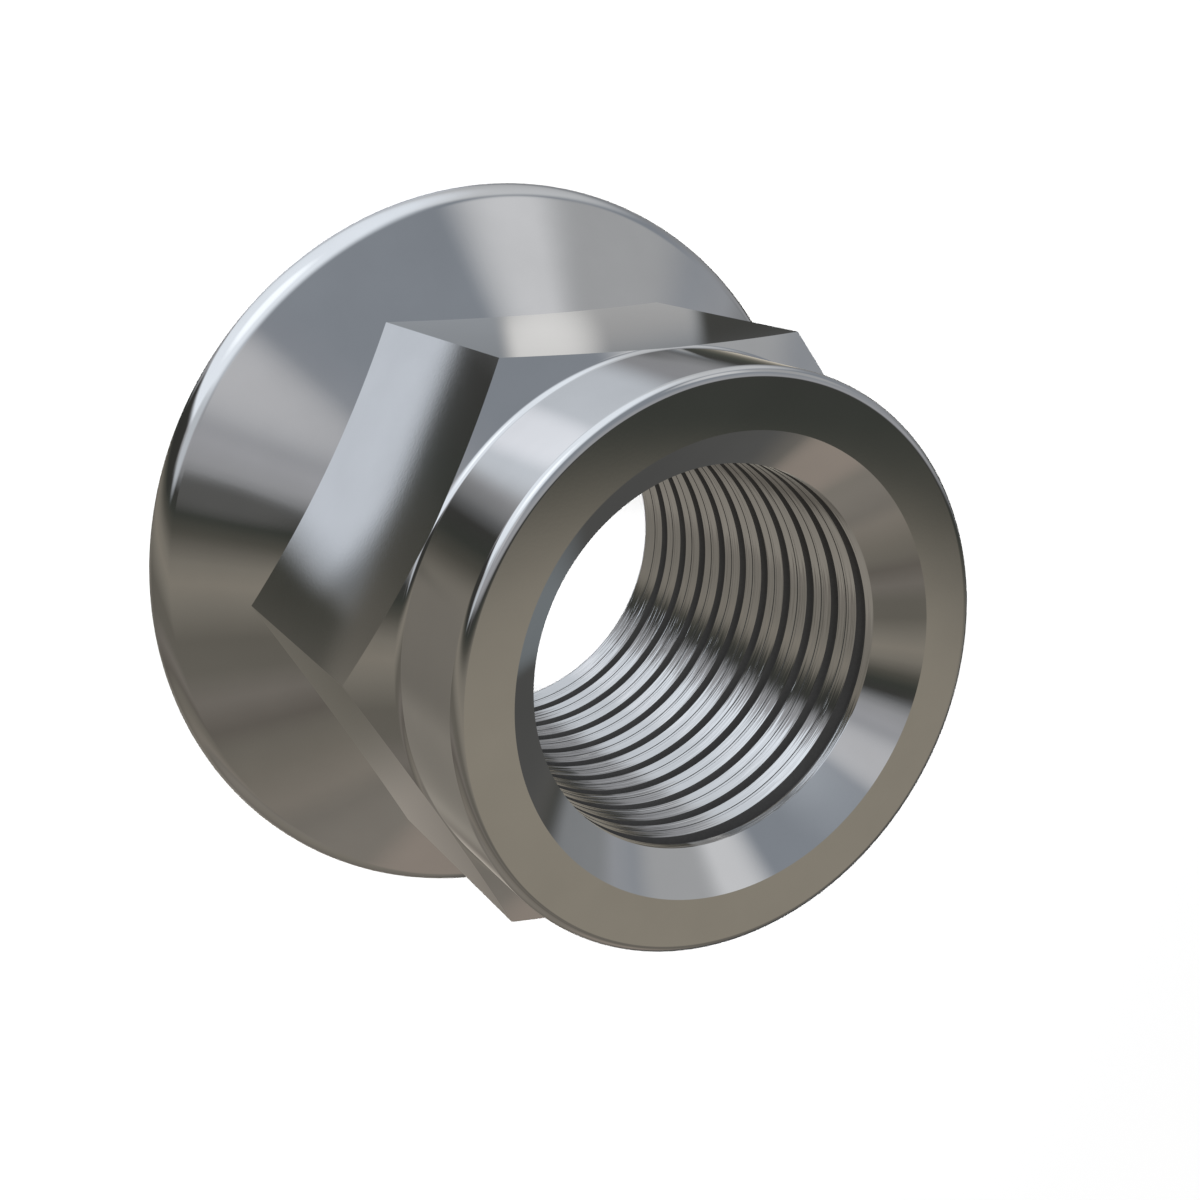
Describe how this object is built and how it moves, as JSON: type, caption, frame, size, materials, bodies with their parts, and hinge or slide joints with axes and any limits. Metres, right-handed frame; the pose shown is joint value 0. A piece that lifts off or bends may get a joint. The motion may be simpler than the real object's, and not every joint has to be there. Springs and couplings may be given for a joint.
{
  "type": "flanged hex lock nut",
  "caption": "Hexagon nut with a wide conical flange at its base and a round locking collar on top, threaded right through, with a countersunk mouth.",
  "frame": {"origin": "centre of the flat bearing face under the flange", "axes": "+Z along the thread's axis, from the flange to the locking collar; +X through a corner of the hexagon"},
  "size_m": [0.0396, 0.0396, 0.023],
  "materials": {
    "steel": "satin bare steel, finely turned, with darker grooves in the thread"
  },
  "bodies": {
    "root": {"lock_nut": "steel"}
  },
  "joints": []
}
